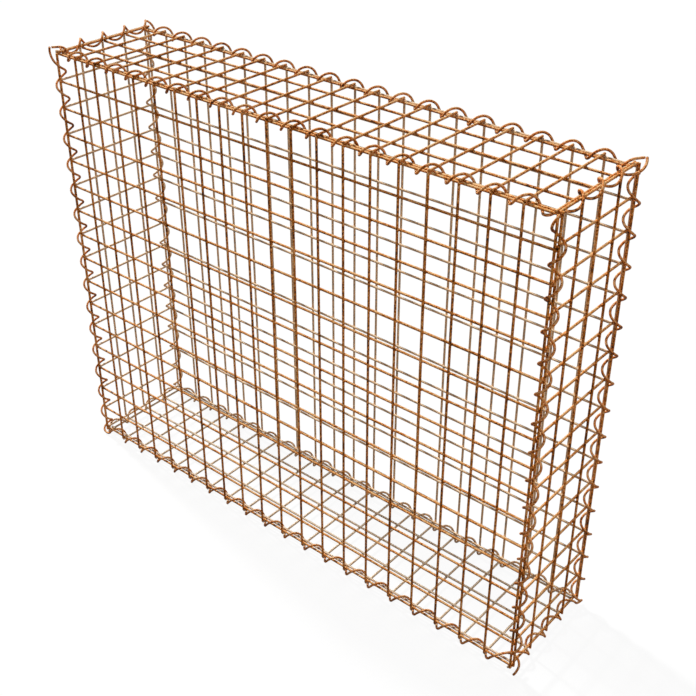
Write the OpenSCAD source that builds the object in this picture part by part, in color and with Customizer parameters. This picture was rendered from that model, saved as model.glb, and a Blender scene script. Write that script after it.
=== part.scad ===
// Welded mesh gabion basket, empty and laced shut.
// Six flat panels of welded wire mesh make the box: two long walls, two end
// walls, a lid and a base. Twelve spiral binders, one along every edge, are
// screwed through the edge cells of the two panels that meet there.
// Millimetres. X runs along the length, Y through the depth with the front at -Y,
// Z up. The basket stands on its two long lower spirals at Z = 0.

/* [Mesh] */
// Pitch of the mesh, wire centre to wire centre
cell = 50; // [45:1:60]
// Cells along the length
cells_long = 20; // [6:1:22]
// Cells through the depth
cells_deep = 4; // [2:1:8]
// Cells up the height
cells_high = 16; // [4:1:18]
// Diameter of the mesh wire
wire_d = 4; // [3:0.5:5]
// Hairline between two crossing wires, closed by their weld
weld_gap = 0.05; // [0.02:0.01:0.1]
// Clearance between wires of neighbouring panels and of the spirals
fit_gap = 0.3; // [0.2:0.1:0.5]
// Step from a long wall's upright to the end wall's first upright, along Y
tuck = 3.5; // [3.3:0.1:5]
// Clear slot between a long wall's edge wire and the lid's or base's edge wire
edge_slot = 2.5; // [1:0.5:4]
// Distance of the lid's and base's wire ends from the middle of the uprights
lid_setback = 0.5; // [0:0.1:1]

/* [Spirals] */
// Diameter of the spiral wire
spiral_wire_d = 4; // [3:0.5:5]
// Play of the coil round the two corner wires that lie farthest apart
coil_play = 0.8; // [0.6:0.1:1.6]
// Side of the lid's edge wire on which a long spiral bears, above the level
long_bearing = 30; // [20:1:40]
// Side of a corner upright on which an upright spiral bears, from the length
post_bearing = 60; // [50:1:70]
// Side of the lid's end wire on which an upper end spiral bears, above the level
lid_bearing = 12; // [5:1:20]
// Side of the base's end wire on which a lower end spiral bears, above the level
base_bearing = 60; // [50:1:65]
// Shift of a lower end spiral along its edge, away from the base's edge wire
base_shift = 1.4; // [1:0.1:2.5]
// Depth to which a spiral's bends run into each other
bury = 0.3; // [0.2:0.1:0.4]

/* [Corner loops] */
// Reach of a loop beyond the end of the length
loop_x = 9.5; // [8:0.5:12]
// Reach of an upper loop beyond the long wall's uprights
loop_y = 6; // [5:0.5:8]
// Reach of a lower loop beyond the long wall's uprights
low_loop_y = 4.5; // [3.5:0.5:6]
// Height of an upper loop's tip above the long wall's highest wire
loop_rise = 12.2; // [10:0.2:13]
// Depth of a lower loop's tip below the long wall's lowest wire
loop_drop = 7; // [6:0.5:8]
// Clearance between the two spirals' ends at a loop's tip
loop_gap = 0.9; // [0.8:0.1:1.5]
// Reach of an upright spiral's hanging lower end beyond the spiral's axis, along X
hang_x = 5.3; // [4:0.1:7]

/* [Hidden] */
layer = wire_d + weld_gap;
tip = layer - wire_d / 2 - fit_gap;
coil_r = norm([wire_d + fit_gap, 2 * layer]) / 2 + (wire_d + spiral_wire_d) / 2 + coil_play;
seat = coil_r - (wire_d + spiral_wire_d) / 2 - fit_gap;

// A mesh has whole cells
columns = round(cells_long);
files = round(cells_deep);
rows = round(cells_high);
length = columns * cell;
height = rows * cell;
depth = files * cell;

// Levels of the long walls' and the end walls' lowest wires, and of the lid's and base's
coil_low = coil_r + spiral_wire_d / 2;
low_z = coil_low + seat * sin(long_bearing);
end_z = low_z + layer;
high_z = low_z + height;
lid_z = high_z + layer;
base_z = low_z - layer;

// Half distances between the panels
wall_y = depth / 2 + tuck;
end_x = length / 2 + layer;
edge_y = wall_y - layer - wire_d - edge_slot;
edge_x = length / 2 - wire_d - fit_gap;
wall_reach = end_x - wire_d / 2 - fit_gap;
end_reach = wall_y - wire_d / 2 - fit_gap;
lid_reach = wall_y - lid_setback;

// Spiral axes
long_axis_y = edge_y + seat * cos(long_bearing);
long_axis_z = seat * sin(long_bearing);
post_axis_x = length / 2 + seat * cos(post_bearing);
post_axis_y = wall_y - seat * sin(post_bearing);
lid_axis_x = edge_x + seat * cos(lid_bearing);
lid_axis_z = lid_z + seat * sin(lid_bearing);
base_axis_x = edge_x + seat * cos(base_bearing);
base_axis_z = base_z + seat * sin(base_bearing);

// A coil turn is four equal bends, each a quarter turn; every second one is a shade thinner
quarter = 90;
rise = cell / 4;
lead = atan(rise / (2 * coil_r * tan(quarter / 2)));
step_d = 0.04;
long_quarters = 4 * columns;
high_quarters = 4 * rows;
deep_quarters = 4 * files;

// Sides with which a straight wire, a bent wire and a full circle of a bend are drawn
wire_sides = 24;
bend_sides = 36;
circle_sides = 96;

mesh_colour = "#9a5a34";
lid_colour = "#a9663c";
spiral_colour = "#7d4527";

function unit(v) = v / norm(v);

// One straight wire along X, Y or Z between two coordinates
module wire_x(from, to) {
  translate([from, 0, 0])
    rotate([0, 90, 0])
      cylinder(d = wire_d, h = to - from, $fn = wire_sides);
}

module wire_y(from, to) {
  translate([0, from, 0])
    rotate([-90, 0, 0])
      cylinder(d = wire_d, h = to - from, $fn = wire_sides);
}

module wire_z(from, to) {
  translate([0, 0, from])
    cylinder(d = wire_d, h = to - from, $fn = wire_sides);
}

// Long wall: uprights outside, level wires inside; side is -1 in front, 1 behind
module long_wall(side) {
  for (i = [0 : columns])
    translate([i * cell - length / 2, side * wall_y, 0])
      wire_z(low_z - tip, high_z + tip);
  for (k = [0 : rows])
    translate([0, side * (wall_y - layer), low_z + k * cell])
      wire_x(-wall_reach, wall_reach);
}

// End wall: the same build, one wire thickness higher so that the corners interleave
module end_wall(side) {
  for (j = [0 : files])
    translate([side * end_x, j * cell - depth / 2, 0])
      wire_z(end_z - tip, lid_z + tip);
  for (k = [0 : rows])
    translate([side * (end_x - layer), 0, end_z + k * cell])
      wire_y(-end_reach, end_reach);
}

// Lid or base: cross wires outside, long wires inside; side is 1 above, -1 below
module flat_panel(level, side) {
  for (i = [0 : columns])
    translate([max(-edge_x, min(edge_x, i * cell - length / 2)), 0, level + side * layer])
      wire_y(-lid_reach, lid_reach);
  for (j = [0 : files])
    translate([0, max(-edge_y, min(edge_y, j * cell - depth / 2)), level])
      wire_x(-edge_x - tip, edge_x + tip);
}

// Frames of a spiral: its across, up and along directions for a spiral along X, Y or Z
frame_x = [[0, 1, 0], [0, 0, 1], [1, 0, 0]];
frame_y = [[1, 0, 0], [0, 0, -1], [0, 1, 0]];
frame_z = [[1, 0, 0], [0, 1, 0], [0, 0, 1]];

// A spiral is [axis point, frame, hand, angle there, first quarter turn, last quarter turn]
function long_spiral(side, level, start, first, last) =
  [[-length / 2, side * long_axis_y, level], frame_x, -1, start, first, last];

function post_spiral(side_x, side_y, first, last) =
  [[side_x * post_axis_x, side_y * post_axis_y, low_z], frame_z,
   -side_x * side_y, side_x < 0 ? 180 : 0, first, last];

function lid_end_spiral(side, first, last) =
  [[side * lid_axis_x, -depth / 2, lid_axis_z], frame_y, -1, -90, first, last];

function base_end_spiral(side, first, last) =
  [[side * base_axis_x, side * base_shift - depth / 2, base_axis_z], frame_y, 1, 90, first, last];

function angle_at(s, k) = s[3] + s[2] * k * quarter;

// Point of a spiral's wire after a number of quarter turns, and its heading, way 1 on or -1 back
function station(s, k) =
  s[0] + [coil_r * cos(angle_at(s, k)), coil_r * sin(angle_at(s, k)), k * rise] * s[1];

function heading(s, k, way) =
  let (across = s[2] * cos(lead))
  way * [-across * sin(angle_at(s, k)), across * cos(angle_at(s, k)), sin(lead)] * s[1];

function end_of(s, way) = way < 0 ? s[4] : s[5];
function end_point(s, way) = station(s, end_of(s, way));
function end_heading(s, way) = heading(s, end_of(s, way), way);

// Heading with which a bend that leaves a point arrives at its end
function arrival(point, heading, to) = 2 * (heading * unit(to - point)) * unit(to - point) - heading;

// Point where the bends from two spirals' ends run smoothly into each other
function meeting(s, way, t, way_t) =
  let (v = end_point(t, way_t) - end_point(s, way),
       out = end_heading(s, way) + end_heading(t, way_t),
       turn = end_heading(s, way) - end_heading(t, way_t),
       k = 4 - turn * turn,
       reach = (sqrt(pow(v * turn, 2) + k * (v * v)) - v * turn) / k)
  (end_point(s, way) + end_point(t, way_t) + reach * out) / 2;

// Length by which a spiral's end stops short of a loop's tip, to clear the other spiral's end there
function short_of(s, way, t, way_t, tip) =
  let (a = arrival(end_point(s, way), end_heading(s, way), tip),
       b = arrival(end_point(t, way_t), end_heading(t, way_t), tip))
  (spiral_wire_d / 2 * (1 + abs(a * b)) + loop_gap) / norm(cross(a, b));

// Wire bent on one circle from a point and heading to a second point, longer by before and after
module bend(from, heading, to, d, before, after) {
  chord = to - from;
  half = acos(unit(chord) * heading);
  r = norm(chord) / (2 * sin(half));
  normal = unit(cross(heading, chord));
  inward = cross(normal, heading);
  centre = from + r * inward;
  per_mm = 180 / PI / r;
  multmatrix([[-inward.x, heading.x, normal.x, centre.x],
              [-inward.y, heading.y, normal.y, centre.y],
              [-inward.z, heading.z, normal.z, centre.z],
              [0, 0, 0, 1]])
    rotate([0, 0, -before * per_mm])
      rotate_extrude(angle = 2 * half + (before + after) * per_mm, $fn = circle_sides)
        translate([r, 0])
          circle(d = d, $fn = bend_sides);
}

// The turns of a spiral
module coil(s) {
  for (k = [s[4] : s[5] - 1]) {
    odd = (k - s[4]) % 2;
    bend(station(s, k), heading(s, k, 1), station(s, k + 1),
         spiral_wire_d - odd * step_d, odd * bury, odd * bury);
  }
}

// The last bend of a spiral's end, out to a point at its corner
module tail(s, way, to, short = 0) {
  odd = way < 0 ? 1 : (s[5] - s[4]) % 2;
  bend(end_point(s, way), end_heading(s, way), to,
       spiral_wire_d - odd * step_d, odd * bury, -short);
}

// Tips of the corner loops; side is -1 at the left front corner, 1 at the right rear corner
function upper_tip(side) = [side * (length / 2 + loop_x), side * (wall_y + loop_y), high_z + loop_rise];
function lower_tip(side) = [side * (length / 2 + loop_x), side * (wall_y + low_loop_y), low_z - loop_drop];

module front_panel() {
  color(mesh_colour)
    long_wall(-1);
}

module back_panel() {
  color(mesh_colour)
    long_wall(1);
}

module left_end_panel() {
  color(mesh_colour)
    end_wall(-1);
}

module right_end_panel() {
  color(mesh_colour)
    end_wall(1);
}

module lid_panel() {
  color(lid_colour)
    flat_panel(high_z, 1);
}

module base_panel() {
  color(mesh_colour)
    flat_panel(low_z, -1);
}

// The twelve spirals, with the quarter turns that each has
top_front = long_spiral(-1, high_z + long_axis_z, 90, 0, long_quarters - 2);
top_rear = long_spiral(1, high_z + long_axis_z, 90, 1, long_quarters);
bottom_front = long_spiral(-1, low_z - long_axis_z, 270, 1, long_quarters - 2);
bottom_rear = long_spiral(1, low_z - long_axis_z, 270, 2, long_quarters - 1);
left_front = post_spiral(-1, -1, 0, high_quarters - 1);
left_rear = post_spiral(-1, 1, 0, high_quarters);
right_front = post_spiral(1, -1, 0, high_quarters - 2);
right_rear = post_spiral(1, 1, 0, high_quarters - 1);
top_left = lid_end_spiral(-1, 1, deep_quarters);
top_right = lid_end_spiral(1, 2, deep_quarters - 2);
bottom_left = base_end_spiral(-1, 0, deep_quarters - 3);
bottom_right = base_end_spiral(1, 3, deep_quarters - 1);

// Ends of the right front spiral, beside the corner uprights above and hanging to the ground below
tucked_end = [end_x, -wall_y - wire_d / 2 - fit_gap, high_z + tip];
hanging_end = [post_axis_x + hang_x, -wall_y, spiral_wire_d / 2 + fit_gap];

module spiral_top_front() {
  color(spiral_colour) {
    coil(top_front);
    tail(top_front, -1, upper_tip(-1), short_of(top_front, -1, left_front, 1, upper_tip(-1)));
    tail(top_front, 1, meeting(top_front, 1, top_right, -1), fit_gap / 2);
  }
}

module spiral_top_rear() {
  color(spiral_colour) {
    coil(top_rear);
    tail(top_rear, 1, upper_tip(1), short_of(top_rear, 1, top_right, 1, upper_tip(1)));
  }
}

module spiral_bottom_front() {
  color(spiral_colour) {
    coil(bottom_front);
    tail(bottom_front, -1, meeting(bottom_front, -1, left_front, -1), fit_gap / 2);
    tail(bottom_front, 1, meeting(bottom_front, 1, bottom_right, -1), fit_gap / 2);
  }
}

module spiral_bottom_rear() {
  color(spiral_colour) {
    coil(bottom_rear);
    tail(bottom_rear, -1, meeting(bottom_rear, -1, bottom_left, 1), fit_gap / 2);
  }
}

module spiral_left_front() {
  color(spiral_colour) {
    coil(left_front);
    tail(left_front, -1, meeting(bottom_front, -1, left_front, -1), fit_gap / 2);
    tail(left_front, 1, upper_tip(-1));
  }
}

module spiral_left_rear() {
  color(spiral_colour)
    coil(left_rear);
}

module spiral_right_front() {
  color(spiral_colour) {
    coil(right_front);
    tail(right_front, -1, hanging_end);
    tail(right_front, 1, tucked_end);
  }
}

module spiral_right_rear() {
  color(spiral_colour) {
    coil(right_rear);
    tail(right_rear, -1, lower_tip(1), short_of(right_rear, -1, bottom_right, 1, lower_tip(1)));
  }
}

module spiral_top_left() {
  color(spiral_colour)
    coil(top_left);
}

module spiral_top_right() {
  color(spiral_colour) {
    coil(top_right);
    tail(top_right, -1, meeting(top_front, 1, top_right, -1), fit_gap / 2);
    tail(top_right, 1, upper_tip(1));
  }
}

module spiral_bottom_left() {
  color(spiral_colour) {
    coil(bottom_left);
    tail(bottom_left, 1, meeting(bottom_rear, -1, bottom_left, 1), fit_gap / 2);
  }
}

module spiral_bottom_right() {
  color(spiral_colour) {
    coil(bottom_right);
    tail(bottom_right, -1, meeting(bottom_front, 1, bottom_right, -1), fit_gap / 2);
    tail(bottom_right, 1, lower_tip(1));
  }
}

front_panel();
back_panel();
left_end_panel();
right_end_panel();
lid_panel();
base_panel();
spiral_top_front();
spiral_top_rear();
spiral_bottom_front();
spiral_bottom_rear();
spiral_left_front();
spiral_left_rear();
spiral_right_front();
spiral_right_rear();
spiral_top_left();
spiral_top_right();
spiral_bottom_left();
spiral_bottom_right();
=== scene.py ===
import math
import random

import bmesh
import bpy
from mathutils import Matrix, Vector


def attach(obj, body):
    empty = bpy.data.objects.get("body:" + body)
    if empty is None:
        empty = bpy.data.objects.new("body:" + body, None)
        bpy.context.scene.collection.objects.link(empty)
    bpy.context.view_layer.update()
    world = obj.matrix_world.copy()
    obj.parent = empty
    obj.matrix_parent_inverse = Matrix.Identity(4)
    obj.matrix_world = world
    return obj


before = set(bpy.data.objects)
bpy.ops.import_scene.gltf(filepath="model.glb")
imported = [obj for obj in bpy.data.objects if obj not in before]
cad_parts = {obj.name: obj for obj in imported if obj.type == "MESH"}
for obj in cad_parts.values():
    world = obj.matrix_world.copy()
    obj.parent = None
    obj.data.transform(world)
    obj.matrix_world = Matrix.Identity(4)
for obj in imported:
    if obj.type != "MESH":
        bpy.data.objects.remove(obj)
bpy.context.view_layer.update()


# Welded mesh mats: the two long walls, the two end walls, the lid and the base.
# Each is a flat mat of straight drawn steel wires in two crossing layers, sheared off
# just past the edge wires. Their solids stay, and take the rust of bare steel outdoors.
# Painted haze: the pale tone that the colours of the far mats and binders are mixed towards, so that
# they render lighter.
PAINTED_HAZE_TONE = (0.98, 0.92, 0.83)


def linear(hex_colour, haze_share=0.0):
    """Scene-linear RGBA of an sRGB hex colour, mixed by a share towards the pale tone of the painted
    haze.
    """
    parts = [int(hex_colour[i:i + 2], 16) / 255 for i in (1, 3, 5)]
    parts = [c + (pale - c) * haze_share for c, pale in zip(parts, PAINTED_HAZE_TONE)]
    return [c / 12.92 if c <= 0.04045 else ((c + 0.055) / 1.055) ** 2.4 for c in parts] + [1.0]


def add(tree, kind, inputs=None, links=None, **settings):
    """Adds a node, sets its properties and inputs, and links other nodes' outputs to it."""
    node = tree.nodes.new("ShaderNode" + kind)
    for name, value in settings.items():
        setattr(node, name, value)
    for name, value in (inputs or {}).items():
        node.inputs[name].default_value = value
    for name, (source, output) in (links or {}).items():
        tree.links.new(source.outputs[output], node.inputs[name])
    return node


def noise(tree, place, millimetres, detail, roughness):
    """A noise whose features are about that many millimetres across."""
    return add(tree, "TexNoise", {"Scale": 1000 / millimetres, "Detail": detail, "Roughness": roughness},
               {"Vector": (place, "Object")})


def ramp(tree, factor, stops, haze_share):
    """A colour ramp over a factor, from a list of positions and hex colours."""
    node = add(tree, "ValToRGB", None, {"Fac": factor})
    elements = node.color_ramp.elements
    elements[0].position, elements[0].color = stops[0][0], linear(stops[0][1], haze_share)
    elements[1].position, elements[1].color = stops[-1][0], linear(stops[-1][1], haze_share)
    for position, colour in stops[1:-1]:
        elements.new(position).color = linear(colour, haze_share)
    return node


# A share of painted haze mixes every tone of the coat towards a pale tone.
def rusted_wire(name, dark_rust_and_underside_shade, old, body, pale_rust_and_top_light, roughness, haze_share=0.0):
    """Bare drawn mild steel wire under a dry, grainy coat of rust that hides the metal.
    Painted light and shade: by the upward part of the normal, sides that face up are painted lighter and
    sides that face down darker."""
    material = bpy.data.materials.new(name)
    material.use_nodes = True
    tree = material.node_tree
    tree.nodes.clear()
    place = add(tree, "TexCoord")
    patches = noise(tree, place, 60, 3.0, 0.6)
    scabs = noise(tree, place, 9, 4.0, 0.6)
    flecks = noise(tree, place, 2.6, 4.0, 0.65)
    grit = noise(tree, place, 0.5, 2.0, 0.6)
    # Painted light and shade: the upward part of the normal lightens the tops and darkens the undersides
    # of the coat.
    painted_top_light = add(tree, "SeparateXYZ", None, {"Vector": (add(tree, "NewGeometry"), "Normal")})
    rust_and_painted_light = add(tree, "Math", {1: 0.2, 2: -0.06}, {0: (patches, "Fac")}, operation="MULTIPLY_ADD")
    rust_and_painted_light = add(tree, "Math", {1: 0.09}, {0: (painted_top_light, "Z"), 2: (rust_and_painted_light, "Value")},
                  operation="MULTIPLY_ADD")
    rust_and_painted_light = add(tree, "Math", {1: 0.25}, {0: (scabs, "Fac"), 2: (rust_and_painted_light, "Value")},
                  operation="MULTIPLY_ADD")
    rust_and_painted_light = add(tree, "Math", {1: 0.65}, {0: (flecks, "Fac"), 2: (rust_and_painted_light, "Value")},
                  operation="MULTIPLY_ADD")
    # The darkest tone is dark rust and the painted shade of undersides; the palest is pale rust and the
    # painted light on tops.
    coat = ramp(tree, (rust_and_painted_light, "Value"), [(0.38, dark_rust_and_underside_shade), (0.45, old), (0.52, body), (0.6, pale_rust_and_top_light)],
                haze_share)
    dullness = add(tree, "MapRange", {"To Min": roughness - 0.12, "To Max": roughness + 0.12},
                   {"Value": (scabs, "Fac")})
    flaking = add(tree, "Bump", {"Strength": 0.5, "Distance": 0.0002}, {"Height": (flecks, "Fac")})
    grain = add(tree, "Bump", {"Strength": 0.35, "Distance": 0.0001},
                {"Height": (grit, "Fac"), "Normal": (flaking, "Normal")})
    surface = add(tree, "BsdfPrincipled", {"Metallic": 0.0, "Specular IOR Level": 0.15},
                  {"Base Color": (coat, "Color"), "Roughness": (dullness, "Result"),
                   "Normal": (grain, "Normal")})
    add(tree, "OutputMaterial", None, {"Surface": (surface, "BSDF")})
    return material


MESH_TONES = ("#2c1402", "#8a4909", "#f4902b", "#ffcd8e", 0.66)
mesh_rust = rusted_wire("weathered_mesh_wire", *MESH_TONES)
# Painted haze on the back and left end mats and, more strongly, on the base: their rust is mixed towards
# the pale tone so that it renders lighter.
haze_mesh_rust = rusted_wire("painted_haze_mesh_wire", *MESH_TONES, haze_share=0.64)
base_rust = rusted_wire("painted_haze_base_wire", *MESH_TONES, haze_share=0.8)
lid_rust = rusted_wire("weathered_lid_wire", "#2c1402", "#84450a", "#ec8a28", "#ffd094", 0.64)
mats = {
    "front_panel": (mesh_rust, "mesh_wire"),
    "back_panel": (haze_mesh_rust, "mesh_wire"),
    "left_end_panel": (haze_mesh_rust, "mesh_wire"),
    "right_end_panel": (mesh_rust, "mesh_wire"),
    "lid_panel": (lid_rust, "lid_wire"),
    "base_panel": (base_rust, "mesh_wire"),
}
for node, (rust, slot) in mats.items():
    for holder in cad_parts[node].material_slots:
        holder.material = rust


# Weld nuggets, one where two mat wires cross. Resistance welding presses the wires
# together, and the softened steel is squeezed out as a low collar round the contact.
NUGGET_ACROSS = 0.0052
NUGGET_THICK = 0.0019
NUGGET_RINGS = 6
NUGGET_SIDES = 12
SAME_POINT = 0.000002


def wires_of(node):
    """Middle line of every straight wire in a packed mat: a point and its axis."""
    mat = bmesh.new()
    mat.from_mesh(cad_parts[node].data)
    bmesh.ops.remove_doubles(mat, verts=mat.verts, dist=SAME_POINT)
    seen, found = set(), []
    for first in mat.verts:
        if first in seen:
            continue
        seen.add(first)
        stack, island = [first], []
        while stack:
            vert = stack.pop()
            island.append(vert.co.copy())
            for edge in vert.link_edges:
                other = edge.other_vert(vert)
                if other not in seen:
                    seen.add(other)
                    stack.append(other)
        low = Vector(min(co[i] for co in island) for i in range(3))
        high = Vector(max(co[i] for co in island) for i in range(3))
        found.append(((low + high) / 2, max(range(3), key=lambda i: high[i] - low[i])))
    mat.free()
    return found


def weld_nugget(mesh, centre, normal, size):
    """A squashed bead between two crossing wires."""
    across = normal.orthogonal().normalized()
    up = normal.cross(across)
    rings = []
    for i in range(NUGGET_RINGS + 1):
        lift = math.pi * (i + 0.35) / (NUGGET_RINGS + 0.7) - math.pi / 2
        middle = centre + normal * math.sin(lift) * NUGGET_THICK / 2
        radius = math.cos(lift) * NUGGET_ACROSS / 2 * size
        turns = [2 * math.pi * j / NUGGET_SIDES for j in range(NUGGET_SIDES)]
        rings.append([mesh.verts.new(middle + radius * (math.cos(t) * across + math.sin(t) * up))
                      for t in turns])
    for near, far in zip(rings, rings[1:]):
        for j in range(NUGGET_SIDES):
            k = (j + 1) % NUGGET_SIDES
            mesh.faces.new((near[j], near[k], far[k], far[j])).smooth = True
    mesh.faces.new(reversed(rings[0]))
    mesh.faces.new(rings[-1])


dice = random.Random(4)
for node, (rust, slot) in mats.items():
    beads = bmesh.new()
    wires = wires_of(node)
    for point, axis in wires:
        for other_point, other_axis in wires:
            if other_axis <= axis:
                continue
            thin = 3 - axis - other_axis
            meeting, normal = Vector((0, 0, 0)), Vector((0, 0, 0))
            meeting[axis] = other_point[axis]
            meeting[other_axis] = point[other_axis]
            meeting[thin] = (point[thin] + other_point[thin]) / 2
            normal[thin] = 1
            weld_nugget(beads, meeting, normal, dice.uniform(0.9, 1.08))
    bmesh.ops.recalc_face_normals(beads, faces=beads.faces)
    data = bpy.data.meshes.new(node + "_welds")
    beads.to_mesh(data)
    beads.free()
    data.materials.append(rust)
    welds = bpy.data.objects.new(node + "_welds", data)
    bpy.context.scene.collection.objects.link(welds)
    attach(welds, "root")


# Spiral binders along the twelve edges. Each is one wire wound to the pitch of the mesh
# and screwed in through the edge cells, so that it holds two mats together. Their solids
# stay; the winding has cracked the mill scale, so that they rust a little redder.
SPIRAL_TONES = ("#2c1303", "#8e470c", "#f68d30", "#ffcb90", 0.62)
spiral_rust = rusted_wire("weathered_spiral_wire", *SPIRAL_TONES)
# Painted haze on the three binders along the far edges, as on the far mats.
haze_spiral_rust = rusted_wire("painted_haze_spiral_wire", *SPIRAL_TONES, haze_share=0.6)
haze_spirals = ("spiral_bottom_rear", "spiral_left_rear", "spiral_bottom_left")
for node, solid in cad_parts.items():
    if node.startswith("spiral_"):
        for holder in solid.material_slots:
            holder.material = haze_spiral_rust if node in haze_spirals else spiral_rust


# Cut tail of the upper rear binder. The wire runs on past the left rear corner and is
# bent up and over by hand, to lie beside the end of the binder of the lid's left edge.
TAIL_WIRE = 0.004
TAIL_FROM = Vector((-0.4875, 0.1067, 0.8165))
TAIL_HEADING = Vector((-0.554, 0.0, 0.832)).normalized()
TAIL_TO = Vector((-0.501, 0.10375, 0.827))
TAIL_SUNK = 0.0003
TAIL_STEPS = 14
TAIL_SIDES = 20
BURR = 0.0003


def bent_wire(mesh, start, heading, end):
    """One round bend of wire that leaves start along heading and is cut off at end."""
    chord = end - start
    inward = (chord - heading * chord.dot(heading)).normalized()
    radius = chord.length_squared / (2 * chord.dot(inward))
    middle = start + inward * radius
    sweep = math.atan2(chord.dot(heading), radius - chord.dot(inward))
    side = heading.cross(inward)
    turns = [sweep * i / TAIL_STEPS for i in range(TAIL_STEPS + 1)]
    stations = [(turn, TAIL_WIRE / 2) for turn in turns]
    stations[-1] = (sweep - BURR / radius, TAIL_WIRE / 2)
    stations.append((sweep, TAIL_WIRE / 2 - BURR))
    rings = []
    for turn, thick in stations:
        outward = heading * math.sin(turn) - inward * math.cos(turn)
        rings.append([mesh.verts.new(middle + outward * radius + thick
                                     * (math.cos(a) * outward + math.sin(a) * side))
                      for a in (2 * math.pi * j / TAIL_SIDES for j in range(TAIL_SIDES))])
    for near, far in zip(rings, rings[1:]):
        for j in range(TAIL_SIDES):
            k = (j + 1) % TAIL_SIDES
            mesh.faces.new((near[j], near[k], far[k], far[j])).smooth = True
    mesh.faces.new(reversed(rings[0]))
    mesh.faces.new(rings[-1])


bend = bmesh.new()
bent_wire(bend, TAIL_FROM - TAIL_HEADING * TAIL_SUNK, TAIL_HEADING, TAIL_TO)
bmesh.ops.recalc_face_normals(bend, faces=bend.faces)
tail_data = bpy.data.meshes.new("spiral_top_rear_tail")
bend.to_mesh(tail_data)
bend.free()
tail_data.materials.append(spiral_rust)
tail = bpy.data.objects.new("spiral_top_rear_tail", tail_data)
bpy.context.scene.collection.objects.link(tail)
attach(tail, "root")


# Floor, backdrop and light: a plain white studio table under a soft key light from the
# upper left and a weak even fill. The floor keeps a faint shadow.
FLOOR_SIZE = 40
FLOOR_GREY = 0.35
FLOOR_SHOWN = 0.75
FLOOR_GLOW = 1.24
FILL = 0.12


def seen(tree):
    """One where the camera, a reflection or a view through something meets the surface."""
    rays = add(tree, "LightPath")
    either = add(tree, "Math", None, {0: (rays, "Is Camera Ray"), 1: (rays, "Is Glossy Ray")},
                 operation="MAXIMUM")
    return add(tree, "Math", None, {0: (either, "Value"), 1: (rays, "Is Transmission Ray")},
               operation="MAXIMUM")


floor_mesh = bmesh.new()
bmesh.ops.create_grid(floor_mesh, x_segments=1, y_segments=1, size=FLOOR_SIZE / 2)
floor_data = bpy.data.meshes.new("studio_floor")
floor_mesh.to_mesh(floor_data)
floor_mesh.free()
floor = bpy.data.objects.new("studio_floor", floor_data)
bpy.context.scene.collection.objects.link(floor)
paper = bpy.data.materials.new("white_paper")
paper.use_nodes = True
tree = paper.node_tree
tree.nodes.clear()
matte = add(tree, "BsdfDiffuse", {"Color": (FLOOR_GREY, FLOOR_GREY, FLOOR_GREY, 1)})
glow = add(tree, "Emission", {"Color": (1, 1, 1, 1), "Strength": FLOOR_GLOW})
share = add(tree, "Math", {1: FLOOR_SHOWN}, {0: (seen(tree), "Value")}, operation="MULTIPLY")
shown = add(tree, "MixShader", None, {"Fac": (share, "Value")})
tree.links.new(matte.outputs["BSDF"], shown.inputs[1])
tree.links.new(glow.outputs["Emission"], shown.inputs[2])
add(tree, "OutputMaterial", None, {"Surface": (shown, "Shader")})
floor_data.materials.append(paper)

world = bpy.data.worlds.new("studio")
world.use_nodes = True
bpy.context.scene.world = world
tree = world.node_tree
tree.nodes.clear()
level = add(tree, "MapRange", {"To Min": FILL, "To Max": 1.0}, {"Value": (seen(tree), "Value")})
sky = add(tree, "Background", {"Color": (1, 1, 1, 1)}, {"Strength": (level, "Result")})
add(tree, "OutputWorld", None, {"Surface": (sky, "Background")})

for name, kind, at, soft, power in (("key_light", "SUN", (-1.7, 0.3, 1.8), 5, 3.4),
                                    ("fill_light", "SUN", (1.8, -0.3, 0.9), 60, 0.6)):
    light = bpy.data.lights.new(name, kind)
    light.angle = math.radians(soft)
    light.energy = power
    lamp = bpy.data.objects.new(name, light)
    lamp.location = at
    lamp.rotation_euler = (-Vector(at)).to_track_quat("-Z", "Y").to_euler()
    bpy.context.scene.collection.objects.link(lamp)


# Camera at the photograph's viewing angle: front and right end, from above.
CAMERA_AT = Vector((1.1127, -1.2348, 1.4155))
CAMERA_AIM = Vector((0.0715, 0.0, 0.4431))
camera_data = bpy.data.cameras.new("camera")
camera_data.sensor_width = 36
camera_data.lens = 58.02
camera_data.shift_x = 0.0006
camera_data.shift_y = -0.0343
camera = bpy.data.objects.new("camera", camera_data)
camera.location = CAMERA_AT
camera.rotation_euler = (CAMERA_AIM - CAMERA_AT).to_track_quat("-Z", "Y").to_euler()
bpy.context.scene.collection.objects.link(camera)
bpy.context.scene.camera = camera
bpy.context.scene.view_settings.view_transform = "Standard"
